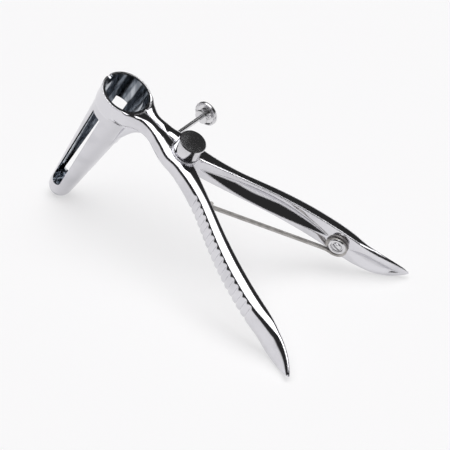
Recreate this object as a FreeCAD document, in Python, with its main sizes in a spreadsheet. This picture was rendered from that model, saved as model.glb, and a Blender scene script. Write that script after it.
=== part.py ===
import FreeCAD, Part
import math
import os

import Sketcher
from FreeCAD import Placement, Rotation, Vector

# Bivalve rectal speculum: two mirrored halves, each a slotted half-tube blade brazed
# into a forged bar with a half collar, an arm and a ribbed handle.
# Squeezing the handles swings the halves about the pivot screw and parts the blades.
# All pieces are laid out in the instrument's own frame and then stood up on the blade
# tip and both handle ends. In the instrument's frame the mouth centre is the origin,
# X runs to the handles, Y points at the far half and Z is the pivot's axis, out of the mouth.

doc = FreeCAD.newDocument("speculum")

sizes = doc.addObject("Spreadsheet::Sheet", "Sizes")
DRIVING_SIZES = (
    ("mouth_radius", 15.0, "outer radius of the mouth rim"),
    ("collar_wall", 0.7, "wall of the half collar round the blade"),
    ("collar_depth", 12.5, "height of the half collar"),
    ("blade_wall", 1.3, "sheet thickness of a blade"),
    ("blade_length", 106.0, "mouth plane to blade tip"),
    ("nose_radius", 8.0, "radius of the rounded blade tip"),
    ("tube_lean", 3.3, "lean of the blades against the pivot axis, degrees"),
    ("slot_width", 7.6, "width of the blade window"),
    ("slot_top", 18.8, "mouth plane to the top of the blade window"),
    ("slot_end", 93.5, "mouth plane to the lower end of the blade window"),
    ("slot_turn", 16.5, "turn of the windows about the blades, away from the handles, degrees"),
    ("notch_radius", 1.5, "radius of the notch where the collars meet"),
    ("split_gap", 0.12, "gap between the closed halves"),
    ("arm_depth", 12.4, "height of the arms along the pivot axis"),
    ("neck_depth", 10.2, "height of an arm at its waist"),
    ("pivot_reach", 48.0, "mouth centre to pivot axis"),
    ("lug_radius", 8.0, "radius of the hinge lugs"),
    ("lug_gap", 0.1, "clearance round and between the lugs"),
    ("lug_rise", 0.3, "raised faces of the lugs over the arms"),
    ("root_reach", 50.5, "mouth centre to where the inner faces part"),
    ("spread", 26.5, "angle of each handle root to the split plane, degrees"),
    ("straight_run", 46.5, "straight part of a handle"),
    ("grip_radius", 271.0, "bend radius of the grip, turning inward"),
    ("grip_turn", 13.0, "turn of the grip, degrees"),
    ("flare_radius", 70.0, "bend radius of the flared end, turning outward"),
    ("flare_turn", 29.3, "turn of the flared end, degrees"),
    ("waist_thick", 6.6, "thickness of an arm at its waist"),
    ("pivot_thick", 12.8, "thickness of an arm beside the pivot"),
    ("handle_waist", 6.6, "thickness of a handle behind the pivot"),
    ("waist_place", 30.0, "handle root to its waist"),
    ("full_place", 82.0, "handle root to its full thickness"),
    ("grip_thick", 8.2, "full thickness of a handle over its ribs"),
    ("tip_thick", 1.8, "thickness of a handle end"),
    ("grip_depth", 17.4, "height of a handle at its wide end"),
    ("root_growth", 35.0, "length over which a handle gains its height"),
    ("root_swell", 34.0, "length over which a handle loses the pivot's thickness"),
    ("tip_rise", 2.7, "rise of the very end's middle"),
    ("end_run", 27.0, "rounded end of a handle"),
    ("thin_run", 50.0, "stretch over which a handle thins to its end"),
    ("edge_bevel", 0.5, "bevel along the inner edges of the bars"),
    ("rib_count", 16, "finger ribs on a handle"),
    ("rib_pitch", 4.45, "pitch of the finger ribs"),
    ("rib_start", 27.5, "handle root to the first groove"),
    ("groove_radius", 1.5, "radius of a groove between ribs"),
    ("groove_depth", 0.95, "depth of a groove between ribs"),
    ("groove_tilt", 5.0, "tilt of the grooves, which makes them deeper below, degrees"),
    ("scoop_depth", 3.3, "depth of the scoops in the inner faces"),
    ("scoop_land", 1.6, "flat land above and below a scoop"),
    ("web_thick", 4.8, "thickness of the web between arm and blade"),
    ("web_reach", 12.5, "reach of the web along the arm"),
    ("web_drop", 28.0, "reach of the web down the blade"),
    ("web_round", 3.0, "rounding of the web's hollow edge"),
    ("pin_radius", 2.5, "radius of the pivot screw"),
    ("running_gap", 0.05, "radial clearance of turning and sliding fits"),
    ("knob_radius", 8.1, "radius of the pivot knob"),
    ("knob_height", 8.3, "height of the pivot knob"),
    ("knob_thread", 6.0, "depth of the knob's threaded hole"),
    ("washer_radius", 5.6, "radius of the washer under the knob"),
    ("washer_thick", 1.8, "thickness of the washer under the knob"),
    ("head_radius", 5.5, "radius of the pivot screw's head"),
    ("head_height", 2.4, "height of the pivot screw's head"),
    ("rod_reach", 34.5, "mouth centre to the adjusting screw"),
    ("rod_drop", 6.6, "mouth plane to the adjusting screw"),
    ("rod_radius", 1.3, "radius of the adjusting screw"),
    ("rod_length", 37.0, "length of the adjusting screw"),
    ("flange_radius", 4.3, "radius of the adjusting screw's flange"),
    ("flange_thick", 1.3, "thickness of the adjusting screw's flange"),
    ("hub_radius", 2.6, "radius of the neck between flange and thumb disc"),
    ("hub_length", 2.6, "length of the neck between flange and thumb disc"),
    ("disc_radius", 7.5, "radius of the thumb disc"),
    ("disc_thick", 2.4, "thickness of the thumb disc"),
    ("disc_dish", 0.7, "depth of the dished faces of the thumb disc"),
    ("disc_rim", 1.0, "width of the thumb disc's rim"),
    ("boss_radius", 3.2, "radius of the boss in the thumb disc"),
    ("spring_place", 99.5, "handle root to the spring screw"),
    ("wire_radius", 1.25, "radius of the spring wire"),
    ("eye_radius", 5.6, "mean radius of the eye of the spring"),
    ("eye_drop", 2.7, "drop of the eye's middle under its screw"),
    ("spring_bend", 12.0, "bend radius of the spring beside its eye"),
    ("spring_contact", 32.0, "handle root to where the spring bears"),
    ("spring_end_drop", 3.9, "mouth plane to the spring's bearing"),
    ("bearing_gap", 0.5, "gap between the spring's end and the near handle"),
    ("foot_height", 3.1, "height of the spring's turned-up end"),
    ("spring_screw_radius", 1.6, "shank radius of the spring screw"),
    ("spring_head_radius", 2.9, "head radius of the spring screw"),
    ("spring_head_dome", 0.6, "rise of the spring screw's domed head over its cup"),
    ("cup_recess", 3.8, "radius of the recess in the cup washer"),
    ("cup_radius", 5.3, "radius of the cup washer"),
    ("cup_thick", 1.3, "thickness of the cup washer"),
    ("driver_slot", 1.1, "width and depth of the screwdriver slots"),
    ("edge", 0.4, "small edge rounding"),
)
for row, (alias, value, note) in enumerate(DRIVING_SIZES, start=1):
    sizes.set("A%d" % row, note)
    sizes.set("B%d" % row, str(value))
    sizes.setAlias("B%d" % row, alias)
doc.recompute()


def size(alias):
    return float(sizes.get(alias))


# A length that knows both its value and the expression that binds a feature to the sheet.
class Sized:
    def __init__(self, text, value):
        self.text = text
        self.value = value

    def joined(self, sign, other, value):
        return Sized("(%s %s %s)" % (self.text, sign, other.text), value)

    def __add__(self, other):
        other = sized(other)
        return self.joined("+", other, self.value + other.value)

    def __sub__(self, other):
        other = sized(other)
        return self.joined("-", other, self.value - other.value)

    def __mul__(self, other):
        other = sized(other)
        return self.joined("*", other, self.value * other.value)

    def __truediv__(self, other):
        other = sized(other)
        return self.joined("/", other, self.value / other.value)

    def __neg__(self):
        return Sized("(0 - %s)" % self.text, -self.value)


def sized(what):
    if isinstance(what, Sized):
        return what
    if isinstance(what, str):
        return Sized("Sizes." + what, size(what))
    return Sized("%.9g" % what, float(what))


def label(item, name):
    item.Label = name
    return item


def bind(item, **lengths):
    for key, length in lengths.items():
        item.setExpression(key, sized(length).text)
    return item


def turned(base, axis, degrees):
    return Placement(base, Rotation(axis, degrees))


X_AXIS = Vector(1, 0, 0)
Y_AXIS = Vector(0, 1, 0)
Z_AXIS = Vector(0, 0, 1)
NEAR = -1
FAR = 1

lean = math.radians(size("tube_lean"))
taper = (size("mouth_radius") - size("nose_radius")) / (size("blade_length") - size("nose_radius"))
arm_middle = -size("arm_depth") / 2
pivot = Vector(size("pivot_reach"), 0, 0)
half_gap = size("split_gap") / 2


# The inner edge of a far-side handle in plan: a straight root, a grip that bends slowly
# inward and an end that flares outward. The near side is its mirror image.
def handle_line(run):
    heading = math.radians(size("spread"))
    place = Vector(size("root_reach"), 0, 0)
    stretches = (
        (size("straight_run"), 0.0),
        (size("grip_radius") * math.radians(size("grip_turn")), -1 / size("grip_radius")),
        (size("flare_radius") * math.radians(size("flare_turn")), 1 / size("flare_radius")),
    )
    for length, bend in stretches:
        step = min(run, length)
        if bend:
            centre = place + Vector(-math.sin(heading), math.cos(heading), 0) / bend
            heading += step * bend
            place = centre + Vector(math.sin(heading), -math.cos(heading), 0) / bend
        else:
            place = place + Vector(math.cos(heading), math.sin(heading), 0) * step
        run -= step
        if run <= 0:
            break
    return place, heading


handle_run = (
    size("straight_run")
    + size("grip_radius") * math.radians(size("grip_turn"))
    + size("flare_radius") * math.radians(size("flare_turn"))
)


# share of the way from the full section to the end, over the last stretch of the handle
def lateness(run, stretch):
    return max(0.0, run - (handle_run - stretch)) / stretch


def growth(run):
    return 1 - math.exp(-max(0.0, run) / size("root_growth"))


def handle_depth(run):
    depth = size("arm_depth") + (size("grip_depth") - size("arm_depth")) * growth(run)
    late = min(1.0, lateness(run, size("end_run")))
    return depth * max(0.05, (1 - late * late) ** 0.75)


def handle_middle(run):
    late = lateness(run, size("end_run"))
    return arm_middle + size("tip_rise") * late**2


def handle_thickness(run):
    waist = size("handle_waist")
    swell = (run - size("waist_place")) / (size("full_place") - size("waist_place"))
    swell = min(1.0, max(0.0, swell))
    grown = waist + (size("grip_thick") - waist) * swell**2 * (3 - 2 * swell)
    fading = max(0.0, 1 - run / size("root_swell"))
    late = lateness(run, size("thin_run"))
    thinned = size("tip_thick") + (grown - size("tip_thick")) * (1 - late**1.5)
    return thinned + (size("pivot_thick") - waist) * fading**2


# A section of the bar: flat and bevelled towards the other half, flat over a shoulder
# and a squarish half oval outside. It is widest above its middle, squarer above than below.
WIDEST = 0.3
SQUARE_TOP = 2.8
SQUARE_BOTTOM = 2.3


def section_wire(place, heading, side, depth, middle, thick, shoulder):
    out = Vector(-math.sin(heading), math.cos(heading) * side, 0)
    foot = Vector(place.x, place.y * side, middle)
    half = depth / 2
    bevel = min(size("edge_bevel"), 0.3 * half, 0.5 * shoulder)
    face_top = foot + Z_AXIS * (half - bevel)
    face_bottom = foot - Z_AXIS * (half - bevel)
    top_in = foot + Z_AXIS * half + out * bevel
    bottom_in = foot - Z_AXIS * half + out * bevel
    centre = foot + out * shoulder
    top_out = centre + Z_AXIS * half
    bottom_out = centre - Z_AXIS * half
    reach = thick - shoulder
    corners = []
    for angle in (67.5, 45.0, 22.5, 0.0, -22.5, -45.0, -67.5):
        bend = math.radians(angle)
        squareness = SQUARE_TOP if angle > 0 else SQUARE_BOTTOM
        height = math.copysign(abs(math.sin(bend)) ** (2 / squareness), angle)
        level = WIDEST + height * (1 - math.copysign(WIDEST, angle))
        corners.append(centre + Z_AXIS * half * level + out * reach * math.cos(bend) ** (2 / squareness))
    oval = Part.BSplineCurve()
    oval.interpolate([top_out] + corners + [bottom_out], InitialTangent=out, FinalTangent=-out)
    edges = [
        Part.LineSegment(face_bottom, face_top).toShape(),
        Part.LineSegment(face_top, top_in).toShape(),
        Part.LineSegment(top_in, top_out).toShape(),
        oval.toShape(),
        Part.LineSegment(bottom_out, bottom_in).toShape(),
        Part.LineSegment(bottom_in, face_bottom).toShape(),
    ]
    return Part.Wire(edges)


# The neck swells smoothly from the waist of the arm into the collar ring.
def bar_sections(side):
    waist = size("waist_thick")
    wide = size("pivot_thick")
    mouth = size("mouth_radius")
    reach = size("pivot_reach")
    neck = size("neck_depth")
    full = size("arm_depth")
    # distance from the mouth centre, heading, thickness, share of it that is flat, height
    stations = (
        (0.30 * mouth, 0.0, 0.965 * mouth, 0.90, neck + 1.5),
        (0.55 * mouth, 0.0, 0.915 * mouth, 0.86, neck + 1.2),
        (0.80 * mouth, 0.0, 0.80 * mouth, 0.80, neck + 0.8),
        (1.02 * mouth, 0.0, waist + 2.8, 0.70, neck + 0.3),
        (1.25 * mouth, 0.0, waist + 1.0, 0.55, neck),
        (1.60 * mouth, 0.0, waist, 0.45, neck),
        (reach - 18.5, 2.0, waist + 0.9, 0.43, neck + 0.8),
        (reach - 13.0, 4.0, waist + 2.4, 0.42, full),
        (reach - 5.0, 10.0, wide - 1.2, 0.42, full),
        (reach + 1.5, 18.0, wide, 0.42, full),
    )
    wires = []
    for place, heading, thick, flat, depth in stations:
        spot = Vector(place, 0, 0)
        bend = math.radians(heading)
        wires.append(section_wire(spot, bend, side, depth, -depth / 2, thick, flat * thick))
    runs = [5.0, 14.0, 24.0]
    full_run = handle_run - size("end_run")
    steps = 9
    for index in range(1, steps + 1):
        runs.append(runs[2] + (full_run - runs[2]) * index / steps)
    for share in (0.3, 0.55, 0.78, 0.92, 1.0):
        runs.append(full_run + size("end_run") * share)
    for run in runs:
        place, heading = handle_line(run)
        thick = handle_thickness(run)
        shoulder = thick * (0.14 + 0.28 * max(0.0, 1 - run / size("root_swell")))
        wires.append(
            section_wire(place, heading, side, handle_depth(run), handle_middle(run), thick, shoulder)
        )
    return wires


def feature(name, shape):
    item = doc.addObject("Part::Feature", name)
    item.Shape = shape
    return item


# The forged bar of one half, lofted through its sections from the collar to the handle end.
def lofted_bar(name, side):
    return feature(name, Part.makeLoft(bar_sections(side), True, False))


# A leaf-shaped hollow in the inner face of a handle, ground with two flanks that meet
# in a rounded bottom. It starts full and round and runs out in a point.
def scoop_tool(name, side, first_run, last_run, depth):
    wires = []
    steps = 10
    for index in range(steps + 1):
        share = index / steps
        run = first_run + (last_run - first_run) * share
        swell = min(1.0, share / 0.16) ** 0.5 * math.cos(math.pi / 2 * max(0.0, share - 0.4) / 0.6) ** 0.8
        swell = max(0.1, swell)
        place, heading = handle_line(run)
        out = Vector(-math.sin(heading), math.cos(heading) * side, 0)
        half = (handle_depth(run) / 2 - size("scoop_land")) * swell
        deep = min(depth * swell, 0.6 * half, 0.55 * handle_thickness(run))
        centre = Vector(place.x, place.y * side, handle_middle(run))
        front = -out * 0.5
        top = centre + Z_AXIS * half
        bottom = centre - Z_AXIS * half
        flanks = Part.BSplineCurve()
        flanks.interpolate(
            [
                top,
                centre + Z_AXIS * 0.6 * half + out * 0.46 * deep,
                centre + Z_AXIS * 0.2 * half + out * 0.9 * deep,
                centre - Z_AXIS * 0.2 * half + out * 0.9 * deep,
                centre - Z_AXIS * 0.6 * half + out * 0.46 * deep,
                bottom,
            ]
        )
        edges = [
            flanks.toShape(),
            Part.LineSegment(bottom, bottom + front).toShape(),
            Part.LineSegment(bottom + front, top + front).toShape(),
            Part.LineSegment(top + front, top).toShape(),
        ]
        wires.append(Part.Wire(edges))
    return feature(name, Part.makeLoft(wires, True, False))


def cylinder(name, radius, height, placement):
    item = doc.addObject("Part::Cylinder", name)
    bind(item, Radius=radius, Height=height)
    item.Placement = placement
    return item


def cone_half(name, lower, upper, height, side, drop):
    item = doc.addObject("Part::Cone", name)
    bind(item, Radius1=lower, Radius2=upper, Height=height)
    item.Angle = 180
    spin = Rotation(Z_AXIS, 0 if side == FAR else 180)
    tilt = Rotation(Y_AXIS, math.degrees(lean))
    item.Placement = Placement(tilt.multVec(Vector(0, 0, -drop)), tilt.multiply(spin))
    return item


def fuse(name, *items):
    item = doc.addObject("Part::MultiFuse", name)
    item.Shapes = list(items)
    return item


def cut(name, base, *tools):
    item = doc.addObject("Part::Cut", name)
    item.Base = base
    item.Tool = tools[0] if len(tools) == 1 else fuse(name + "_tools", *tools)
    return item


fall = (sized("mouth_radius") - "nose_radius") / (sized("blade_length") - "nose_radius")
rim_spare = 2.0


# The half collar: the top of the tube's cone, standing round the blade.
def half_collar(name, side):
    return cone_half(
        name,
        sized("mouth_radius") - fall * "collar_depth",
        sized("mouth_radius") + fall * rim_spare,
        sized("collar_depth") + rim_spare,
        side,
        size("collar_depth"),
    )


seat_spare = 6.0


# The seat of the blade: its outer cone, which also clears the bore of the collar.
def blade_seat(name):
    item = doc.addObject("Part::Cone", name)
    bind(
        item,
        Radius1=sized("nose_radius") - "collar_wall",
        Radius2=sized("mouth_radius") - "collar_wall" + fall * seat_spare,
        Height=sized("blade_length") - "nose_radius" + seat_spare,
    )
    tilt = Rotation(Y_AXIS, math.degrees(lean))
    item.Placement = Placement(tilt.multVec(Vector(0, 0, size("nose_radius") - size("blade_length"))), tilt)
    return item


# The web under the arm: a gusset whose hollow edge is a quarter oval. It leaves the arm's
# underside level and runs out along the blade's back.
def web(name, side):
    fall_angle = lean + math.atan(taper)
    down_back = Vector(-math.sin(fall_angle), 0, -math.cos(fall_angle))
    proud = size("mouth_radius") - size("collar_wall") / 2
    rim = Vector(proud * math.cos(lean), 0, -proud * math.sin(lean))
    corner = rim + down_back * ((-size("neck_depth") - rim.z) / down_back.z)
    centre = corner + X_AXIS * size("web_reach") + down_back * size("web_drop")
    spots = []
    for angle in (0.0, 22.5, 45.0, 67.5, 90.0):
        bend = math.radians(angle)
        rise = down_back * size("web_drop") * math.cos(bend)
        spots.append(centre - rise - X_AXIS * size("web_reach") * math.sin(bend))
    hollow = Part.BSplineCurve()
    hollow.interpolate(spots, InitialTangent=-X_AXIS, FinalTangent=down_back)
    inside = X_AXIS * -3.0
    lift = Z_AXIS * 2.0
    edges = [
        hollow.toShape(),
        Part.LineSegment(spots[-1], spots[-1] + inside).toShape(),
        Part.LineSegment(spots[-1] + inside, corner + inside + lift).toShape(),
        Part.LineSegment(corner + inside + lift, spots[0] + lift).toShape(),
        Part.LineSegment(spots[0] + lift, spots[0]).toShape(),
    ]
    gusset = Part.Face(Part.Wire(edges)).extrude(Y_AXIS * size("web_thick") * side)
    outer_level = size("web_thick") * side
    hollow_edges = []
    for edge_found in gusset.Edges:
        if abs(edge_found.BoundBox.YMin - outer_level) < 0.01 and abs(edge_found.BoundBox.YMax - outer_level) < 0.01:
            if isinstance(edge_found.Curve, Part.BSplineCurve):
                hollow_edges.append(edge_found)
    return feature(name, gusset.makeFillet(size("web_round"), hollow_edges))


# Grooves between the finger ribs: upright round cutters that leave the top band smooth.
def groove_cutters(name, side):
    cutters = []
    for index in range(int(size("rib_count")) + 1):
        run = size("rib_start") + index * size("rib_pitch")
        place, heading = handle_line(run)
        out = Vector(-math.sin(heading), math.cos(heading) * side, 0)
        along = Vector(math.cos(heading), math.sin(heading) * side, 0)
        crest = Vector(place.x, place.y * side, handle_middle(run)) + out * handle_thickness(run)
        axis_spot = crest + out * (size("groove_radius") - size("groove_depth"))
        upright = Rotation(along, -side * size("groove_tilt")).multVec(Z_AXIS)
        cutters.append(
            cylinder(
                "%s_%d" % (name, index + 1),
                "groove_radius",
                "grip_depth",
                Placement(axis_spot - upright * size("grip_depth") / 2, Rotation(Z_AXIS, upright)),
            )
        )
    return cutters


# The round notch through the rim on the split plane, opposite the arms.
def rim_notch(name):
    return cylinder(
        name,
        "notch_radius",
        "mouth_radius",
        turned(Vector(-1.5 * size("mouth_radius"), 0, 0), Y_AXIS, 90),
    )


def forging(side, name):
    word = "near" if side == NEAR else "far"
    bar = lofted_bar(word + "_bar", side)
    collar = half_collar(word + "_collar", side)
    gusset = web(word + "_web", side)
    depth = size("arm_depth")
    own_low = -depth - size("lug_rise") if side == NEAR else -depth / 2 + size("lug_gap") / 2
    other_low = -depth / 2 - size("lug_gap") / 2 if side == NEAR else -depth - 5.0
    lug = cylinder(
        word + "_lug",
        "lug_radius",
        (sized("arm_depth") - "lug_gap") / 2 + "lug_rise",
        Placement(pivot + Z_AXIS * own_low, Rotation()),
    )
    solid = fuse(word + "_solid", bar, collar, gusset)

    seat = blade_seat(word + "_seat")
    cleared = cylinder(
        word + "_lug_room",
        sized("lug_radius") + "lug_gap",
        (sized("arm_depth") + "lug_gap") / 2 + 5,
        Placement(pivot + Z_AXIS * other_low, Rotation()),
    )
    other_side = doc.addObject("Part::Box", word + "_other_side")
    bind(
        other_side,
        Length=sized("pivot_reach") + handle_run,
        Width=sized("split_gap") / 2 + 20,
        Height="blade_length",
    )
    low_y = -20.0 if side == FAR else -half_gap
    other_side.Placement = Placement(Vector(-20.0, low_y, -size("blade_length") + 10.0), Rotation())
    above = doc.addObject("Part::Box", word + "_above")
    above.Length = 60
    above.Width = 60
    above.Placement = Placement(Vector(-40.0, -30.0, 0), Rotation())
    trimmed = cut(word + "_trimmed", solid, seat, cleared, other_side, above)
    hinged = fuse(word + "_hinged", trimmed, lug)

    tools = groove_cutters(word + "_groove", side)
    scoop_end = size("spring_place") - 7.5
    spoon_start = size("spring_place") + 7.0
    tools.append(scoop_tool(word + "_scoop", side, 10.0, scoop_end, size("scoop_depth")))
    tools.append(scoop_tool(word + "_spoon", side, spoon_start, handle_run - 4.0, size("scoop_depth") * 0.6))
    tools.append(rim_notch(word + "_notch"))
    bore = cylinder(
        word + "_pivot_bore",
        sized("pin_radius") + "running_gap",
        sized("arm_depth") + 10,
        Placement(pivot - Z_AXIS * (depth + 5.0), Rotation()),
    )
    tools.append(bore)
    if side == FAR:
        tapped = cylinder(
            "far_tapped_hole",
            sized("rod_radius") + "running_gap",
            30,
            turned(Vector(size("rod_reach"), -5.0, -size("rod_drop")), X_AXIS, -90),
        )
        tools.append(tapped)
        place, heading = handle_line(size("spring_place"))
        out = Vector(-math.sin(heading), math.cos(heading), 0)
        hole = cylinder(
            "far_spring_hole",
            "spring_screw_radius",
            sized("grip_thick") - 1,
            Placement(place + Z_AXIS * handle_middle(size("spring_place")) - out * 3.0, Rotation(Z_AXIS, out)),
        )
        tools.append(hole)
    return label(cut(name, hinged, *tools), name)


# A blade: half of a tapered tube of sheet with a rounded tip, brazed into the collar,
# with a long window down its middle.
def blade(side, name):
    body = doc.addObject("PartDesign::Body", name)
    label(body, name)
    planes = {origin.Role: origin for origin in body.Origin.OriginFeatures}
    profile = body.newObject("Sketcher::SketchObject", name + "_profile")
    profile.AttachmentSupport = [(planes["XZ_Plane"], "")]
    profile.MapMode = "FlatFace"
    profile.AttachmentOffset = turned(Vector(), Z_AXIS, -math.degrees(lean))

    outer_top = size("mouth_radius") - size("collar_wall")
    wall = size("blade_wall")
    low = size("blade_length") - size("nose_radius")
    spare = rim_spare
    steep = math.atan(taper)
    nose = (size("nose_radius") - size("collar_wall")) * math.cos(steep)
    points = {
        "outer_top": Vector(outer_top + spare * taper, spare, 0),
        "outer_low": Vector(nose * math.cos(steep), -low - nose * math.sin(steep), 0),
        "tip": Vector(0, -low - nose, 0),
        "inner_tip": Vector(0, -low - nose + wall, 0),
        "inner_low": Vector((nose - wall) * math.cos(steep), -low - (nose - wall) * math.sin(steep), 0),
        "inner_top": Vector(outer_top - wall / math.cos(steep) + spare * taper, spare, 0),
    }
    centre = Vector(0, -low, 0)

    def nose_arc(radius):
        circle = Part.Circle(centre, Z_AXIS, radius)
        return Part.ArcOfCircle(circle, -math.pi / 2, -steep)

    profile.addGeometry(Part.LineSegment(points["outer_top"], points["outer_low"]))
    profile.addGeometry(nose_arc(nose))
    profile.addGeometry(Part.LineSegment(points["tip"], points["inner_tip"]))
    profile.addGeometry(nose_arc(nose - wall))
    profile.addGeometry(Part.LineSegment(points["inner_low"], points["inner_top"]))
    profile.addGeometry(Part.LineSegment(points["inner_top"], points["outer_top"]))
    shell = body.newObject("PartDesign::Revolution", name + "_shell")
    shell.Profile = profile
    shell.ReferenceAxis = (profile, ["V_Axis"])
    shell.Angle = 180
    shell.Reversed = side == NEAR
    doc.recompute()

    window = body.newObject("Sketcher::SketchObject", name + "_window")
    window.AttachmentSupport = [(planes["XZ_Plane"], "")]
    window.MapMode = "FlatFace"
    upright = Rotation(Z_AXIS, -math.degrees(lean))
    window.AttachmentOffset = Placement(Vector(), upright.multiply(Rotation(Y_AXIS, side * size("slot_turn"))))
    half = size("slot_width") / 2
    top = -size("slot_top")
    end = -size("slot_end") + half
    window.addGeometry(Part.LineSegment(Vector(-half, top, 0), Vector(half, top, 0)))
    window.addGeometry(Part.LineSegment(Vector(half, top, 0), Vector(half, end, 0)))
    bottom = Part.Circle(Vector(0, end, 0), Z_AXIS, half)
    window.addGeometry(Part.ArcOfCircle(bottom, math.pi, 2 * math.pi))
    window.addGeometry(Part.LineSegment(Vector(-half, end, 0), Vector(-half, top, 0)))
    slot = body.newObject("PartDesign::Pocket", name + "_slot")
    slot.Profile = window
    slot.Type = 1
    slot.Reversed = side == NEAR
    doc.recompute()
    return body


def trimmed_blade(side, name):
    body = blade(side, name + "_body")
    above = doc.addObject("Part::Box", name + "_above")
    above.Length = 60
    above.Width = 60
    above.Placement = Placement(Vector(-30.0, -30.0, 0), Rotation())
    other_side = doc.addObject("Part::Box", name + "_other_side")
    bind(other_side, Width=sized("split_gap") / 2 + 20, Height=sized("blade_length") + 20)
    other_side.Length = 80
    low_y = -20.0 if side == FAR else -half_gap
    other_side.Placement = Placement(Vector(-40.0, low_y, -size("blade_length") - 5.0), Rotation())
    return label(cut(name, body, above, other_side, rim_notch(name + "_notch")), name)


# A screwdriver slot across a head that ends at this height.
def driver_slot(name, head_top, placement):
    length = 2 * size("head_radius") + 2.0
    width = size("driver_slot")
    slot = doc.addObject("Part::Box", name)
    bind(slot, Width="driver_slot", Height=sized("driver_slot") * 2)
    slot.Length = length
    corner = Vector(-length / 2, -width / 2, head_top - width)
    slot.Placement = placement.multiply(Placement(corner, Rotation()))
    return slot


# A turned piece: its outline is given as pairs of radius and height, bound to the sheet.
def turned_piece(name, outline, placement):
    body = doc.addObject("PartDesign::Body", name)
    planes = {origin.Role: origin for origin in body.Origin.OriginFeatures}
    sketch = body.newObject("Sketcher::SketchObject", name + "_outline")
    sketch.AttachmentSupport = [(planes["XZ_Plane"], "")]
    sketch.MapMode = "FlatFace"
    corners = [(sized(across), sized(up)) for across, up in outline]
    points = [Vector(across.value, up.value, 0) for across, up in corners]
    count = len(points)
    for index in range(count):
        sketch.addGeometry(Part.LineSegment(points[index], points[(index + 1) % count]))
    for index in range(count):
        following = (index + 1) % count
        sketch.addConstraint(Sketcher.Constraint("Coincident", index, 2, following, 1))
    for index, corner in enumerate(corners):
        for kind, own_axis, length in (("DistanceX", -2, corner[0]), ("DistanceY", -1, corner[1])):
            if abs(length.value) < 1e-9:
                sketch.addConstraint(Sketcher.Constraint("PointOnObject", index, 1, own_axis))
                continue
            number = sketch.addConstraint(Sketcher.Constraint(kind, -1, 1, index, 1, length.value))
            sketch.setExpression("Constraints[%d]" % number, length.text)
    turning = body.newObject("PartDesign::Revolution", name + "_turning")
    turning.Profile = sketch
    turning.ReferenceAxis = (sketch, ["V_Axis"])
    turning.Angle = 360
    body.Placement = placement
    return label(body, name)


near_handle = forging(NEAR, "near_handle")
far_handle = forging(FAR, "far_handle")
near_blade = trimmed_blade(NEAR, "near_blade")
far_blade = trimmed_blade(FAR, "far_blade")

# The pivot screw comes up through both lugs into the knob; its head is below.
pin = sized("pin_radius")
edge = sized("edge")
arms_low = -sized("arm_depth") - "lug_rise"
head_low = arms_low - "head_height"
washer_low = sized("lug_rise")
knob_low = washer_low + "washer_thick"
thread_top = knob_low + "knob_thread"
pivot_turned = turned_piece(
    "pivot_screw_turned",
    (
        (0, head_low),
        (sized("head_radius") - edge * 2, head_low),
        ("head_radius", head_low + edge * 2),
        ("head_radius", arms_low - edge / 2),
        (sized("head_radius") - edge / 2, arms_low),
        (pin, arms_low),
        (pin, thread_top - edge * 2),
        (pin - edge, thread_top - edge),
        (0, thread_top - edge),
    ),
    Placement(pivot, Rotation()),
)
upside_down = Placement(pivot, Rotation(X_AXIS, 180))
pivot_slot = driver_slot("pivot_screw_slot", -head_low.value, upside_down)
pivot_screw = label(cut("pivot_screw", pivot_turned, pivot_slot), "pivot_screw")

# The knob: a smooth drum with a blind threaded hole.
knob_top = knob_low + "knob_height"
pivot_knob = turned_piece(
    "pivot_knob",
    (
        (pin + "running_gap", knob_low),
        (sized("knob_radius") - edge, knob_low),
        ("knob_radius", knob_low + edge),
        ("knob_radius", knob_top - edge),
        (sized("knob_radius") - edge, knob_top),
        (0, knob_top),
        (0, thread_top),
        (pin + "running_gap", thread_top),
    ),
    Placement(pivot, Rotation()),
)

# The washer that keeps the knob off the arms.
knob_washer = turned_piece(
    "knob_washer",
    (
        (pin + "running_gap", washer_low),
        ("washer_radius", washer_low),
        ("washer_radius", knob_low),
        (pin + "running_gap", knob_low),
    ),
    Placement(pivot, Rotation()),
)

# The adjusting screw runs through the far arm and bears on the near arm when turned in.
rod_place = turned(Vector(size("rod_reach"), half_gap, -size("rod_drop")), X_AXIS, -90)
rod = sized("rod_radius")
shoulder_top = sized("rod_length")
shoulder_low = shoulder_top - "hub_length"
disc_top = shoulder_top + "disc_thick"
flange_low = shoulder_low - "flange_thick"
adjusting_screw = turned_piece(
    "adjusting_screw",
    (
        (0, 0),
        (rod - edge, 0),
        (rod, edge),
        (rod, flange_low),
        (sized("flange_radius") - edge, flange_low),
        ("flange_radius", flange_low + edge),
        ("flange_radius", shoulder_low - edge),
        (sized("flange_radius") - edge, shoulder_low),
        ("hub_radius", shoulder_low),
        ("hub_radius", shoulder_top),
        (rod, shoulder_top),
        (rod, disc_top),
        (rod - edge, disc_top + edge),
        (0, disc_top + edge),
    ),
    rod_place,
)

# The thumb disc, riveted on the end of the adjusting screw, with both faces dished
# between its boss and its rounded rim.
dish = sized("disc_dish")
disc_bore = rod + "running_gap"
rim_inside = sized("disc_radius") - "disc_rim"
dish_low = shoulder_top + dish
dish_high = disc_top - dish
adjusting_disc = turned_piece(
    "adjusting_disc",
    (
        (disc_bore, shoulder_top),
        ("boss_radius", shoulder_top),
        (sized("boss_radius") + dish, dish_low),
        (rim_inside - dish, dish_low),
        (rim_inside, shoulder_top),
        (sized("disc_radius") - edge, shoulder_top + edge / 2),
        ("disc_radius", shoulder_top + edge * 2),
        ("disc_radius", disc_top - edge * 2),
        (sized("disc_radius") - edge, disc_top - edge / 2),
        (rim_inside, disc_top),
        (rim_inside - dish, dish_high),
        (sized("boss_radius") + dish, dish_high),
        ("boss_radius", disc_top),
        (disc_bore, disc_top),
    ),
    rod_place,
)

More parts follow.
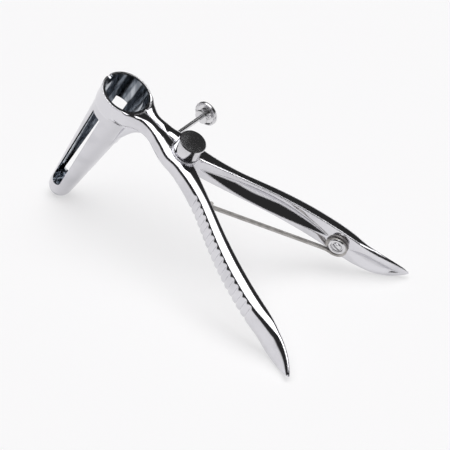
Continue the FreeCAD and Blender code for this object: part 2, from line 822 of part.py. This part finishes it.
# The spring's fixing on the far handle: a cheese-head screw in a cup washer.
spring_spot, spring_heading = handle_line(size("spring_place"))
spring_spot = spring_spot + Z_AXIS * handle_middle(size("spring_place"))
inward = Vector(math.sin(spring_heading), -math.cos(spring_heading), 0)
face_along = Vector(math.cos(spring_heading), math.sin(spring_heading), 0)
# the eye lies flat on the hollow bend of the grip, so it stands off by the bend's sag
face_sag = (size("eye_radius") + size("wire_radius")) ** 2 / (2 * size("grip_radius")) + 0.02
spring_spot = spring_spot + inward * face_sag
spring_place = Placement(spring_spot, Rotation(Z_AXIS, inward))
wire = sized("wire_radius")
cup_low = wire * 2
cup_top = cup_low + "cup_thick"
shank = sized("spring_screw_radius")
spring_cup = turned_piece(
    "spring_cup_washer",
    (
        (shank + "running_gap", cup_low),
        (sized("cup_radius") - edge, cup_low),
        ("cup_radius", cup_low + edge),
        ("cup_radius", cup_top - edge),
        (sized("cup_radius") - edge, cup_top),
        ("cup_recess", cup_top),
        (sized("cup_recess") - edge, cup_low + edge),
        (shank + "running_gap", cup_low + edge),
    ),
    spring_place,
)
head_top = cup_top + "spring_head_dome"
spring_screw_turned = turned_piece(
    "spring_screw_turned",
    (
        (0, -(sized("grip_thick") - 5)),
        (shank - edge, -(sized("grip_thick") - 5)),
        (shank, -(sized("grip_thick") - 5) + edge),
        (shank, cup_low + edge),
        ("spring_head_radius", cup_low + edge),
        ("spring_head_radius", cup_top - "spring_head_dome"),
        (sized("spring_head_radius") - edge, cup_top),
        (sized("spring_head_radius") / 2, head_top - edge / 4),
        (0, head_top),
    ),
    spring_place,
)
spring_slot = driver_slot("spring_screw_slot", head_top.value, spring_place)
spring_screw = label(cut("spring_screw", spring_screw_turned, spring_slot), "spring_screw")


# The spring: round wire with an eye round its screw, which leaves the eye's lower side
# and runs across to the near handle, where its end is turned up to bear on the inner face.
def spring_wire(name):
    radius = wire.value
    off_face = inward * radius
    eye = spring_spot + off_face - Z_AXIS * size("eye_drop")
    ring = size("eye_radius")
    leave = eye - Z_AXIS * ring
    contact, contact_heading = handle_line(size("spring_contact"))
    contact_spot = Vector(contact.x, -contact.y, -size("spring_end_drop"))
    near_out = Vector(-math.sin(contact_heading), -math.cos(contact_heading), 0)
    end = contact_spot - near_out * (radius + size("bearing_gap"))
    turns = []
    opposite = eye + Z_AXIS * ring
    far_side = eye + face_along * ring
    eye_arc = Part.Arc(opposite, far_side, leave).toShape()
    turns.append(eye_arc)
    run_start = leave - face_along * 2.0
    turns.append(Part.LineSegment(leave, run_start).toShape())
    heading = (end - run_start).normalize()
    # a bend from the face's direction to the straight run
    bend = size("spring_bend")
    start_dir = -face_along
    half_turn = start_dir.getAngle(heading) / 2
    span = bend * math.tan(half_turn)
    corner = run_start + start_dir * span
    heading = (end - corner).normalize()
    bend_end = corner + heading * span
    middle = corner + (start_dir * -1 + heading).normalize() * (bend / math.cos(half_turn) - bend)
    turns.append(Part.Arc(run_start, middle, bend_end).toShape())
    turns.append(Part.LineSegment(bend_end, end).toShape())
    path = Part.Wire(turns)
    section = Part.Wire(Part.Circle(opposite, -face_along, radius).toShape())
    tube = path.makePipeShell([section], True, True)
    foot = Part.makeSphere(radius, end)
    post = Part.makeCylinder(radius, size("foot_height"), end, Z_AXIS)
    cap = Part.makeSphere(radius, end + Z_AXIS * size("foot_height"))
    return label(feature(name, tube.fuse([foot, post, cap]).removeSplitter()), name)


spring = spring_wire("spring_wire")

# Standing pose: tipped about Y until the blade tip and both handle ends touch the floor.
nose_centre = Rotation(Y_AXIS, math.degrees(lean)).multVec(
    Vector(0, 0, size("nose_radius") - size("blade_length"))
)
nose_radius = size("nose_radius") - size("collar_wall")


def lowest(tilt):
    down = Vector(math.sin(tilt), 0, -math.cos(tilt))
    ends = []
    for index in range(60):
        run = handle_run - size("end_run") * (1 - index / 59)
        place, _ = handle_line(run)
        low = Vector(place.x, 0, handle_middle(run) - handle_depth(run) / 2)
        ends.append(low.dot(down))
    return max(ends) - nose_centre.dot(down) - nose_radius


low_tilt = math.radians(10)
high_tilt = math.radians(50)
for _ in range(50):
    middle_tilt = (low_tilt + high_tilt) / 2
    if lowest(middle_tilt) > 0:
        high_tilt = middle_tilt
    else:
        low_tilt = middle_tilt
tilt = middle_tilt

pieces = [
    near_handle,
    far_handle,
    near_blade,
    far_blade,
    pivot_screw,
    pivot_knob,
    knob_washer,
    adjusting_screw,
    adjusting_disc,
    spring_cup,
    spring_screw,
    spring,
]
doc.recompute()

stand = Rotation(Y_AXIS, math.degrees(tilt))
boxes = []
for piece in pieces:
    shape = piece.Shape.copy()
    shape.Placement = Placement(Vector(), stand).multiply(shape.Placement)
    boxes.append(shape.BoundBox)
middle_x = (min(box.XMin for box in boxes) + max(box.XMax for box in boxes)) / 2
middle_y = (min(box.YMin for box in boxes) + max(box.YMax for box in boxes)) / 2
floor = min(box.ZMin for box in boxes)
standing = Placement(Vector(-middle_x, -middle_y, -floor), stand)
for piece in pieces:
    piece.Placement = standing.multiply(piece.Placement)
doc.recompute()

for item in doc.Objects:
    if "Invalid" in item.State or "Error" in item.State:
        raise RuntimeError("%s did not build: %s" % (item.Name, item.State))
for piece in pieces:
    if piece.Shape.isNull() or not piece.Shape.isValid():
        raise RuntimeError("%s has no valid shape" % piece.Label)
    if len(piece.Shape.Solids) != 1:
        raise RuntimeError("%s has %d solids" % (piece.Label, len(piece.Shape.Solids)))

os.makedirs("parts", exist_ok=True)
for piece in pieces:
    piece.Shape.exportStep("parts/%s.step" % piece.Label)
    box = piece.Shape.BoundBox
    print(
        "%-18s volume %8.1f  x %7.2f %7.2f  y %7.2f %7.2f  z %7.2f %7.2f"
        % (piece.Label, piece.Shape.Volume, box.XMin, box.XMax, box.YMin, box.YMax, box.ZMin, box.ZMax)
    )
print("tilt %.3f degrees, moved %s" % (math.degrees(tilt), standing.Base))
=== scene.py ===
import math

import bmesh
import bpy
from mathutils import Matrix, Vector


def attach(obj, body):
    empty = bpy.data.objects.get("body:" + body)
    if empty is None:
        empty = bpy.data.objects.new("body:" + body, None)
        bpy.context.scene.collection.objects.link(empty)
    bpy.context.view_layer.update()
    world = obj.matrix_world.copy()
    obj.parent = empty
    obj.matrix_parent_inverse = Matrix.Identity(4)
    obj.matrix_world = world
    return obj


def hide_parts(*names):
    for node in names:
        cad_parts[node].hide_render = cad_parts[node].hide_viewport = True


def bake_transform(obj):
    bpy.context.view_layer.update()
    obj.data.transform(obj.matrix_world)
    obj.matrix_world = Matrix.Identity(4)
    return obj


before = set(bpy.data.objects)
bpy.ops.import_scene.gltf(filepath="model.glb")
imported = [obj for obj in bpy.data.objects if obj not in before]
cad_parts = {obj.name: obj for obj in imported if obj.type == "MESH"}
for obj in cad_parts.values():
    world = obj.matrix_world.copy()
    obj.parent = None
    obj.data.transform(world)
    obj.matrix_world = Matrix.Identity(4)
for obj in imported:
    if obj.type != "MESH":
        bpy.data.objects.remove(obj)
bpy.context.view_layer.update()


# The two forged bars.
# Each is one drop-forged steel bar with half a collar, an arm, a hinge lug and a ribbed handle.
# It is ground, then polished to a mirror on felt wheels that run along the bar.
class Tone:
    """A value that changes over a surface. Sums on it become Math nodes of its material."""

    def __init__(self, tree, socket=None):
        self.tree = tree
        self.socket = socket

    def node(self, kind, settings=(), inputs=(), out=0):
        made = self.tree.nodes.new(kind)
        for key, value in dict(settings).items():
            if key == "stops":
                while len(made.color_ramp.elements) < len(value):
                    made.color_ramp.elements.new(0.5)
                for stop, (place, shade) in zip(made.color_ramp.elements, value):
                    stop.position = place
                    stop.color = (*shade, 1.0)
            else:
                setattr(made, key, value)
        for key, value in dict(inputs).items():
            if isinstance(value, Tone):
                self.tree.links.new(value.socket, made.inputs[key])
            else:
                made.inputs[key].default_value = value
        return Tone(self.tree, made.outputs[out])

    def math(self, operation, *values):
        return self.node("ShaderNodeMath", {"operation": operation}, enumerate(values))

    def __add__(self, other):
        return self.math("ADD", self, other)

    def __radd__(self, other):
        return self.math("ADD", other, self)

    def __sub__(self, other):
        return self.math("SUBTRACT", self, other)

    def __rsub__(self, other):
        return self.math("SUBTRACT", other, self)

    def __mul__(self, other):
        return self.math("MULTIPLY", self, other)

    def __rmul__(self, other):
        return self.math("MULTIPLY", other, self)

    def between(self, low, high):
        """0 below low, 1 above high, smooth in between. With low above high it falls instead."""
        return self.node(
            "ShaderNodeMapRange",
            {"interpolation_type": "SMOOTHSTEP"},
            {"Value": self, "From Min": low, "From Max": high},
        )

    def blended(self, first, second):
        """The colour first where self is 0 and second where it is 1."""
        first, second = [(*shade, 1.0) if isinstance(shade, tuple) else shade for shade in (first, second)]
        return self.node("ShaderNodeMix", {"data_type": "RGBA"}, {0: self, 6: first, 7: second}, out=2)

    def into(self, shader, name):
        self.tree.links.new(self.socket, shader.inputs[name])


def new_finish(name):
    material = bpy.data.materials.new(name)
    material.use_nodes = True
    return material, Tone(material.node_tree), material.node_tree.nodes["Principled BSDF"]


def polished(name, light, worn, smooth, hazy, wave, grain_along, soft_edge=0.0):
    """Mirror-polished steel: a faint haze, fine polishing lines and a slow ripple of the felt wheel."""
    material, tone, shader = new_finish(name)
    spot = tone.node("ShaderNodeTexCoord", out="Object")
    haze = tone.node("ShaderNodeTexNoise", {}, {"Vector": spot, "Scale": 60.0, "Detail": 3.0})
    drawn = tone.node("ShaderNodeMapping", {}, {"Vector": spot, "Scale": grain_along})
    lines = tone.node("ShaderNodeTexNoise", {}, {"Vector": drawn, "Scale": 900.0, "Detail": 4.0})
    ripple = tone.node("ShaderNodeTexNoise", {}, {"Vector": spot, "Scale": 90.0, "Detail": 1.0})
    smudge = haze.between(0.45, 0.75)
    smudge.blended(light, worn).into(shader, "Base Color")
    (smooth + smudge * hazy + lines.between(0.55, 0.8) * 0.02).into(shader, "Roughness")
    shader.inputs["Metallic"].default_value = 1.0
    height = ripple * wave + lines * 0.000001
    values = {"Height": height, "Distance": 1.0, "Strength": 1.0}
    if soft_edge:
        values["Normal"] = tone.node("ShaderNodeBevel", {"samples": 6}, {"Radius": soft_edge})
    tone.node("ShaderNodeBump", {}, values, out="Normal").into(shader, "Normal")
    return material


def dress(material, *nodes):
    for node in nodes:
        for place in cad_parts[node].material_slots:
            place.material = material


bar_steel = polished(
    "forged_steel_mirror",
    light=(0.70, 0.695, 0.725),
    worn=(0.62, 0.615, 0.645),
    smooth=0.035,
    hazy=0.03,
    wave=0.00001,
    grain_along=(0.15, 1.0, 1.0),
    soft_edge=0.0012,
)

# the instrument's own frame, in millimetres, stood up on the blade tip and both handle ends
stand_shift = (-0.0500726, 0.0, 0.0911123)
stand_tilt = math.radians(27.989)
millimetre = 0.001
stand = (
    Matrix.Translation(stand_shift) @ Matrix.Rotation(stand_tilt, 4, "Y") @ Matrix.Scale(millimetre, 4)
)

# the tube that the collars and the blades share
mouth_radius, nose_radius, blade_reach = 15.0, 8.0, 106.0
tube_taper = (mouth_radius - nose_radius) / (blade_reach - nose_radius)
lean = math.radians(3.3)

# the handle, measured along its inner edge from the root beside the pivot
root_reach, root_heading = 50.5, math.radians(26.5)
straight_root = 46.5
grip_bend, grip_turn = 271.0, math.radians(13.0)
flare_bend, flare_turn = 70.0, math.radians(29.3)
handle_run = straight_root + grip_bend * grip_turn + flare_bend * flare_turn
bar_middle = -6.2
neck_height, grip_height_gain, height_growth = 12.4, 5.0, 35.0
tip_run, tip_rise, tip_least, tip_roundness = 27.0, 2.7, 0.05, 0.75
waist_thick, grip_thick, waist_place, full_place = 6.6, 8.2, 30.0, 82.0
tip_thick, thin_run, thinning = 1.8, 50.0, 1.5
root_swell, swell_run = 6.2, 34.0
rib_start, rib_pitch, valley_count, rib_depth, rib_roundness = 27.5, 4.45, 17, 1.15, 0.75
long_scoop, spoon = (10.0, 92.0), (106.5, handle_run - 4.0)
scoop_depth, scoop_most, spoon_shallower = 5.4, 0.66, 0.45
scoop_upper_land, scoop_lower_land, scoop_valley = 1.3, 0.35, -0.25
edge_bevel, end_bevel = 0.5, 2.9
end_rounding = (102.0, 126.0)


def handle_line(run):
    """The inner edge of the far handle in plan: straight, bent slowly inward, flared outward."""
    heading = root_heading
    place = Vector((root_reach, 0, 0))
    stretches = (
        (straight_root, 0.0),
        (grip_bend * grip_turn, -1 / grip_bend),
        (flare_bend * flare_turn, 1 / flare_bend),
    )
    for length, bend in stretches:
        step = min(run, length)
        if bend:
            centre = place + Vector((-math.sin(heading), math.cos(heading), 0)) / bend
            heading += step * bend
            place = centre + Vector((math.sin(heading), -math.cos(heading), 0)) / bend
        else:
            place = place + Vector((math.cos(heading), math.sin(heading), 0)) * step
        run -= step
        if run <= 0:
            break
    return place, heading


def eased(value, low, high):
    """0 below low, 1 above high, smooth in between."""
    share = min(1.0, max(0.0, (value - low) / (high - low)))
    return share * share * (3 - 2 * share)


def bar_height(run):
    """It grows from the neck to the grip, and rounds off over the last stretch."""
    late = min(1.0, max(0.0, run - (handle_run - tip_run)) / tip_run)
    grown = neck_height + grip_height_gain * (1 - math.exp(-run / height_growth))
    return grown * max(tip_least, (1 - late * late) ** tip_roundness)


def bar_thickness(run):
    """Thick at the pivot, then a waist, the full grip and a thin end."""
    grown = waist_thick + (grip_thick - waist_thick) * eased(run, waist_place, full_place)
    late = max(0.0, run - (handle_run - thin_run)) / thin_run
    swell = root_swell * max(0.0, 1 - run / swell_run) ** 2
    return tip_thick + (grown - tip_thick) * (1 - late**thinning) + swell


def rib_valley(run):
    """1 in the bottom of each valley, 0 on the round crests between them."""
    turn = (run - rib_start) / rib_pitch
    if not -0.5 < turn < valley_count - 0.5:
        return 0.0
    return 1 - abs(math.sin(math.pi * turn)) ** rib_roundness


def scoop_share(run):
    """How far a ground hollow is open at this place: a long one before the spring, a spoon at the end."""
    widest, opening, closing = 0.45, 0.85, 0.9
    for first, last in (long_scoop, spoon):
        if first < run < last:
            share = (run - first) / (last - first)
            opened = math.sin(math.pi / 2 * min(1.0, share / widest)) ** opening
            return opened * math.cos(math.pi / 2 * max(0.0, share - widest) / (1 - widest)) ** closing
    return 0.0


def bar_ring(run, side):
    """One section of a handle: hollow inner face, bevelled edges, flat top and squarish ribbed side."""
    place, heading = handle_line(run)
    out = Vector((-math.sin(heading), math.cos(heading) * side, 0))
    late = max(0.0, run - (handle_run - tip_run)) / tip_run
    foot = Vector((place.x, place.y * side, bar_middle + tip_rise * late**2))
    half = bar_height(run) / 2
    thick = bar_thickness(run)
    flat_share, root_flat_share = 0.14, 0.28
    shoulder = thick * (flat_share + root_flat_share * max(0.0, 1 - run / swell_run))
    ending = eased(run, *end_rounding)
    bevel = min(edge_bevel + (end_bevel - edge_bevel) * ending, 0.38 * half, 0.42 * thick)
    shoulder = max(shoulder, bevel)
    open_share = scoop_share(run)
    face_half = half - bevel
    least, lower_flank, upper_flank = 0.02, 1.15, 1.2
    scoop_top = max(least, (face_half - scoop_upper_land) * open_share)
    scoop_foot = max(least, (face_half - scoop_lower_land) * open_share)
    deep = min(scoop_depth * open_share, scoop_most * thick)
    if run > spoon[0]:
        deep *= spoon_shallower
    rib = rib_depth * rib_valley(run)
    spots = []
    for step in range(4):
        spots.append((0.0, -face_half + (face_half - scoop_foot) * step / 4))
    for step in range(33):
        height = -scoop_foot + (scoop_foot + scoop_top) * step / 32
        valley = scoop_valley * scoop_foot
        if height < valley:
            across = min(1.0, (valley - height) / (scoop_foot + valley))
            depth = deep * (1 - across**lower_flank)
        else:
            across = (height - valley) / (scoop_top - valley)
            depth = deep * max(0.0, math.cos(math.pi / 2 * across)) ** upper_flank
        spots.append((depth, height))
    for step in range(1, 5):
        spots.append((0.0, scoop_top + (face_half - scoop_top) * step / 4))
    for step in range(1, 5):
        angle = math.pi / 2 * step / 4
        spots.append((bevel * (1 - math.cos(angle)), half - bevel + bevel * math.sin(angle)))
    for step in range(1, 5):
        spots.append((bevel + (shoulder - bevel) * step / 4, half))
    top_square = 2.8 - 1.4 * ending
    bottom_square = 2.3 - 0.3 * ending
    widest = 0.3 - 0.2 * ending
    outer_steps, rib_fades, rib_gone = 72, 0.6, 0.8
    for step in range(1, outer_steps):
        angle = math.pi / 2 - math.pi * step / outer_steps
        square = top_square if angle > 0 else bottom_square
        swing = math.copysign(abs(math.sin(angle)) ** (2 / square), angle)
        level = widest + swing * (1 - math.copysign(widest, angle))
        across = shoulder + (thick - shoulder) * math.cos(angle) ** (2 / square)
        spots.append((across - rib * eased(-level, -rib_gone, -rib_fades), half * level))
    for step in range(4):
        spots.append((shoulder + (bevel - shoulder) * step / 4, -half))
    for step in range(4):
        angle = math.pi / 2 * step / 4
        spots.append((bevel * (1 - math.sin(angle)), -(half - bevel) - bevel * math.cos(angle)))
    return [stand @ (foot + out * across + Vector((0, 0, height))) for across, height in spots]


def grown_from_collar(spot):
    """A point of the bar's beginning, drawn in so that the bar grows out of the collar with no ledge."""
    turned = stand.inverted() @ spot
    bar_start, grown_out, beside = 4.5, 12.0, 8.0
    if not (bar_start - 0.3 < turned.x < grown_out and abs(turned.y) > beside):
        return spot
    depth = -(turned.x * math.sin(lean) + turned.z * math.cos(lean))
    on_axis = Vector((-math.sin(lean) * depth, 0, -math.cos(lean) * depth))
    collar_radius = mouth_radius - depth * tube_taper
    outward = turned - on_axis
    proud = outward.length - collar_radius
    if proud <= 0:
        return spot
    share = 0.04 + 0.96 * eased(turned.x, bar_start, grown_out)
    return stand @ (on_axis + outward.normalized() * (collar_radius + proud * share))


def handle_bar(name, node, side, body):
    """The bar of one half: collar, web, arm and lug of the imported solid, with the handle laid on."""
    root_run = 8.0
    # the sections lie close together along the ribs, and closer and closer towards the end
    spacing = ((root_run + 0.6, 0.8, 21), (25.6, 0.28, 268), (101.0, 0.7, 38))
    rings = [start + pitch * step for start, pitch, count in spacing for step in range(count)]
    last_stretch, last_count = 16.0, 24
    for step in range(1, last_count + 1):
        rings.append(handle_run - last_stretch * (1 - math.sin(math.pi / 2 * step / last_count)))
    shape = bmesh.new()
    shape.from_mesh(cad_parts[node].data)
    bmesh.ops.remove_doubles(shape, verts=shape.verts, dist=0.0000005)
    place, heading = handle_line(root_run)
    along = Vector((math.cos(heading), math.sin(heading) * side, 0))
    spot = stand @ Vector((place.x, place.y * side, bar_middle))
    whole = list(shape.verts) + list(shape.edges) + list(shape.faces)
    cut = bmesh.ops.bisect_plane(
        shape, geom=whole, plane_co=spot, plane_no=stand.to_3x3() @ along, clear_outer=True, dist=0.0000001
    )
    rim = [item for item in cut["geom_cut"] if isinstance(item, bmesh.types.BMEdge)]
    for vertex in shape.verts:
        vertex.co = grown_from_collar(vertex.co)
    before = None
    for run in rings:
        ring = [shape.verts.new(spot) for spot in bar_ring(run, side)]
        count = len(ring)
        if before is None:
            rim += [shape.edges.new((ring[index - 1], ring[index])) for index in range(count)]
        else:
            for index in range(count):
                after = (index + 1) % count
                shape.faces.new((before[index], before[after], ring[after], ring[index]))
        before = ring
    shape.faces.new(before)
    bmesh.ops.bridge_loops(shape, edges=rim)
    bmesh.ops.recalc_face_normals(shape, faces=shape.faces)
    mesh = bpy.data.meshes.new(name)
    shape.to_mesh(mesh)
    shape.free()
    for polygon in mesh.polygons:
        polygon.use_smooth = True
    mesh.set_sharp_from_angle(angle=math.radians(33.0))
    mesh.materials.clear()
    mesh.materials.append(bar_steel)
    bar = bpy.data.objects.new(name, mesh)
    bpy.context.scene.collection.objects.link(bar)
    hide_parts(node)
    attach(bar, body)


handle_bar("near_bar", "near_handle", -1, "near_half")
handle_bar("far_bar", "far_handle", 1, "far_half")

# The two blades.
# Each is half of a tapered tube spun from stainless sheet, slotted, and brazed into its collar.
# The outside is buffed round the tube; the inside is a little duller, where the buff hardly reaches, and
# its colour is darkened as painted shade.
blade_steel = polished(
    "blade_sheet_mirror",
    light=(0.67, 0.665, 0.695),
    worn=(0.60, 0.595, 0.625),
    smooth=0.04,
    hazy=0.04,
    wave=0.000012,
    grain_along=(1.0, 1.0, 0.2),
)
dress(blade_steel, "near_blade", "far_blade")

# the bore of the tube, from the mouth down to the tip, is a little rougher, and its colour is painted
# shade: darkened, with lighter streaks along it
mouth = stand @ Vector((0, 0, 0))
bore_way = (stand.to_3x3() @ Vector((-math.sin(lean), 0, -math.cos(lean)))).normalized()
sheet_middle = 14.1 * millimetre
tone = Tone(blade_steel.node_tree)
shader = blade_steel.node_tree.nodes["Principled BSDF"]
spot = tone.node("ShaderNodeTexCoord", out="Object")
from_mouth = tone.node("ShaderNodeVectorMath", {"operation": "SUBTRACT"}, {0: spot, 1: mouth})
down_bore = {0: from_mouth, 1: bore_way}
depth = tone.node("ShaderNodeVectorMath", {"operation": "DOT_PRODUCT"}, down_bore, out="Value")
span = tone.node("ShaderNodeVectorMath", {"operation": "LENGTH"}, {0: from_mouth}, out="Value")
radius = tone.math("SQRT", tone.math("MAXIMUM", span * span - depth * depth, 0.0))
inside = (sheet_middle - depth * tube_taper - radius).between(0.0, 0.0003)
bore_tilt = math.radians(31.3)
upright = {"Vector": spot, "Rotation": (0, -bore_tilt, 0), "Scale": (1, 1, 0.06)}
along_bore = tone.node("ShaderNodeMapping", {}, upright)
streaks = tone.node("ShaderNodeTexNoise", {}, {"Vector": along_bore, "Scale": 420.0, "Detail": 3.0})
# painted shade: the colour inside the tube is darkened to stand for the shade in the bore, with lighter
# streaks along it
bore_painted_shade = streaks.between(0.35, 0.65).blended((0.20, 0.22, 0.25), (0.50, 0.525, 0.56))
for name, bore in (("Base Color", bore_painted_shade), ("Roughness", 0.14)):
    outer = Tone(blade_steel.node_tree, shader.inputs[name].links[0].from_socket)
    if name == "Roughness":
        (outer * (1 - inside) + inside * bore).into(shader, name)
    else:
        inside.blended(outer, bore).into(shader, name)

# The pivot: a screw from below, a washer and a drum-shaped knob on top.
# All three are turned from bar and polished in the lathe, so their fine lines run round them.
turned_steel = polished(
    "turned_steel_mirror",
    light=(0.70, 0.695, 0.715),
    worn=(0.56, 0.56, 0.58),
    smooth=0.10,
    hazy=0.12,
    wave=0.00002,
    grain_along=(1.0, 1.0, 1.0),
)
dress(turned_steel, "pivot_screw", "pivot_knob", "knob_washer")

# The adjusting screw and its thumb disc.
# A turned rod that is screwed through the far arm, with the disc riveted on its shouldered end.
satin_steel = polished(
    "turned_steel_satin",
    light=(0.72, 0.715, 0.73),
    worn=(0.50, 0.50, 0.51),
    smooth=0.22,
    hazy=0.16,
    wave=0.00003,
    grain_along=(1.0, 1.0, 1.0),
)
dress(satin_steel, "adjusting_screw", "adjusting_disc")

# The return spring with its screw and cup washer.
# Hard-drawn round wire, bent to an eye at one end and a short turned-up foot at the other.
# The screw and the cup hold the eye on the far handle; the foot bears on the near handle.
dress(satin_steel, "spring_cup_washer", "spring_screw")

wire_radius = 1.25
eye_radius = 5.6
eye_drop = 2.7
eye_gap, eye_leg = 0.1, 3.0
screw_run, bearing_run = 99.5, 32.0
screw_spot, face_heading = handle_line(screw_run)
screw_spot = screw_spot + Vector((0, 0, bar_middle))
off_face = Vector((math.sin(face_heading), -math.cos(face_heading), 0))
along_face = Vector((math.cos(face_heading), math.sin(face_heading), 0))
bearing, bearing_heading = handle_line(bearing_run)
off_bearing = Vector((math.sin(bearing_heading), math.cos(bearing_heading), 0))
bearing_gap, foot_level, foot_height = 0.5, -3.9, 3.1
foot = Vector((bearing.x, -bearing.y, foot_level)) + off_bearing * (wire_radius + bearing_gap)
foot_top = foot + Vector((0, 0, foot_height))

eye = screw_spot + off_face * (wire_radius + eye_gap) - Vector((0, 0, eye_drop))
route = []
for degrees in range(205, -91, -15):
    angle = math.radians(degrees)
    rise = Vector((0, 0, eye_radius * math.sin(angle)))
    route.append(eye + along_face * eye_radius * math.cos(angle) + rise)
leaving = eye - Vector((0, 0, eye_radius)) - along_face
route.append(leaving)
corner = leaving - along_face * eye_leg
route.append(corner)
for share in (0.12, 0.35, 0.6, 0.85, 0.96):
    route.append(corner.lerp(foot, share))
route.append(foot)
route.append(foot.lerp(foot_top, 0.4))
route.append(foot_top)

line = bpy.data.curves.new("spring_line", "CURVE")
line.dimensions = "3D"
line.bevel_depth = wire_radius * millimetre
line.bevel_resolution = 8
line.use_fill_caps = True
line.resolution_u = 10
run = line.splines.new("NURBS")
run.points.add(len(route) - 1)
for point, spot in zip(run.points, route):
    point.co = (*(stand @ spot), 1.0)
run.order_u = 3
run.use_endpoint_u = True
bent = bpy.data.objects.new("spring_bent", line)
bpy.context.scene.collection.objects.link(bent)
bpy.context.view_layer.update()
wire_mesh = bpy.data.meshes.new_from_object(bent.evaluated_get(bpy.context.evaluated_depsgraph_get()))
bpy.data.objects.remove(bent)
spring = bpy.data.objects.new("return_spring", wire_mesh)
bpy.context.scene.collection.objects.link(spring)
for polygon in wire_mesh.polygons:
    polygon.use_smooth = True

spring_steel, tone, shader = new_finish("spring_wire_drawn")
spot = tone.node("ShaderNodeTexCoord", out="Object")
drawn = tone.node("ShaderNodeMapping", {}, {"Vector": spot, "Scale": (0.3, 0.6, 0.6)})
lines = tone.node("ShaderNodeTexNoise", {}, {"Vector": drawn, "Scale": 1500.0, "Detail": 5.0})
patch = tone.node("ShaderNodeTexNoise", {}, {"Vector": spot, "Scale": 220.0, "Detail": 2.0})
patch.between(0.35, 0.7).blended((0.54, 0.52, 0.505), (0.40, 0.385, 0.37)).into(shader, "Base Color")
(0.5 + lines * 0.12).into(shader, "Roughness")
shader.inputs["Metallic"].default_value = 1.0
rough = tone.node("ShaderNodeBump", {}, {"Height": lines * 0.00001, "Distance": 1.0}, out="Normal")
rough.into(shader, "Normal")
wire_mesh.materials.clear()
wire_mesh.materials.append(spring_steel)

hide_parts("spring_wire")
stand @ corner
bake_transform(spring)

# The studio: a seamless pale table top, a dark room round it and one big soft light overhead.
# Polished steel shows all three, so the room's light and dark decide how the metal looks.
floor_mesh = bpy.data.meshes.new("table_top")
reach = 5.0
floor_mesh.from_pydata(
    [(-reach, -reach, 0), (reach, -reach, 0), (reach, reach, 0), (-reach, reach, 0)], [], [(0, 1, 2, 3)]
)
table = bpy.data.objects.new("table_top", floor_mesh)
bpy.context.scene.collection.objects.link(table)
paper, tone, shader = new_finish("seamless_paper")
shader.inputs["Base Color"].default_value = (0.93, 0.925, 0.935, 1.0)
shader.inputs["Roughness"].default_value = 0.9
shader.inputs["Specular IOR Level"].default_value = 0.0
floor_mesh.materials.append(paper)
rays = ("Is Camera Ray", "Is Glossy Ray", "Is Transmission Ray")
seen = [tone.node("ShaderNodeLightPath", out=ray) for ray in rays]
white = tone.node("ShaderNodeEmission", {}, {"Color": (0.98, 0.975, 0.98, 1.0), "Strength": 1.0})
lifted = tone.node("ShaderNodeMixShader", {}, {0: (seen[0] + seen[1] + seen[2]) * 0.6, 2: white})
tone.tree.links.new(shader.outputs[0], lifted.socket.node.inputs[1])
lifted.into(tone.tree.nodes["Material Output"], "Surface")

room = bpy.data.worlds.new("studio_room")
bpy.context.scene.world = room
room.use_nodes = True
tone = Tone(room.node_tree)
way = tone.node("ShaderNodeTexCoord", out="Generated")
parts = room.node_tree.nodes.new("ShaderNodeSeparateXYZ")
room.node_tree.links.new(way.socket, parts.inputs[0])
up = Tone(room.node_tree, parts.outputs["Z"])
dark_room, horizon_light, ceiling_light = 0.03, 0.85, 2.6
wall = up.between(0.16, 0.05) * horizon_light
ceiling = up.between(0.78, 0.88)
strength = dark_room + wall + ceiling * ceiling_light
background = room.node_tree.nodes["Background"]
background.inputs["Color"].default_value = (1.0, 1.0, 1.0, 1.0)
room.node_tree.links.new(strength.socket, background.inputs["Strength"])

lamp = bpy.data.lights.new("overhead_softbox", "AREA")
lamp.shape = "RECTANGLE"
lamp.size = 0.9
lamp.size_y = 0.9
lamp.energy = 3.5
softbox = bpy.data.objects.new("overhead_softbox", lamp)
softbox.location = (0.35, 0.25, 1.5)
softbox.rotation_euler = (Vector(softbox.location)).to_track_quat("Z", "Y").to_euler()
bpy.context.scene.collection.objects.link(softbox)

# The camera stands where the photographer's did, on a long lens.
# Its place and lens were fitted to the instrument's outlines in the photograph.
camera_data = bpy.data.cameras.new("camera")
camera_data.lens = 176.0
camera_data.sensor_width = 36.0
camera = bpy.data.objects.new("camera", camera_data)
camera.location = (0.612140, -0.817105, 0.753683)
camera.rotation_euler = (math.radians(54.3751), math.radians(-1.2557), math.radians(36.8052))
bpy.context.scene.collection.objects.link(camera)
bpy.context.scene.camera = camera
bpy.context.scene.view_settings.view_transform = "Standard"
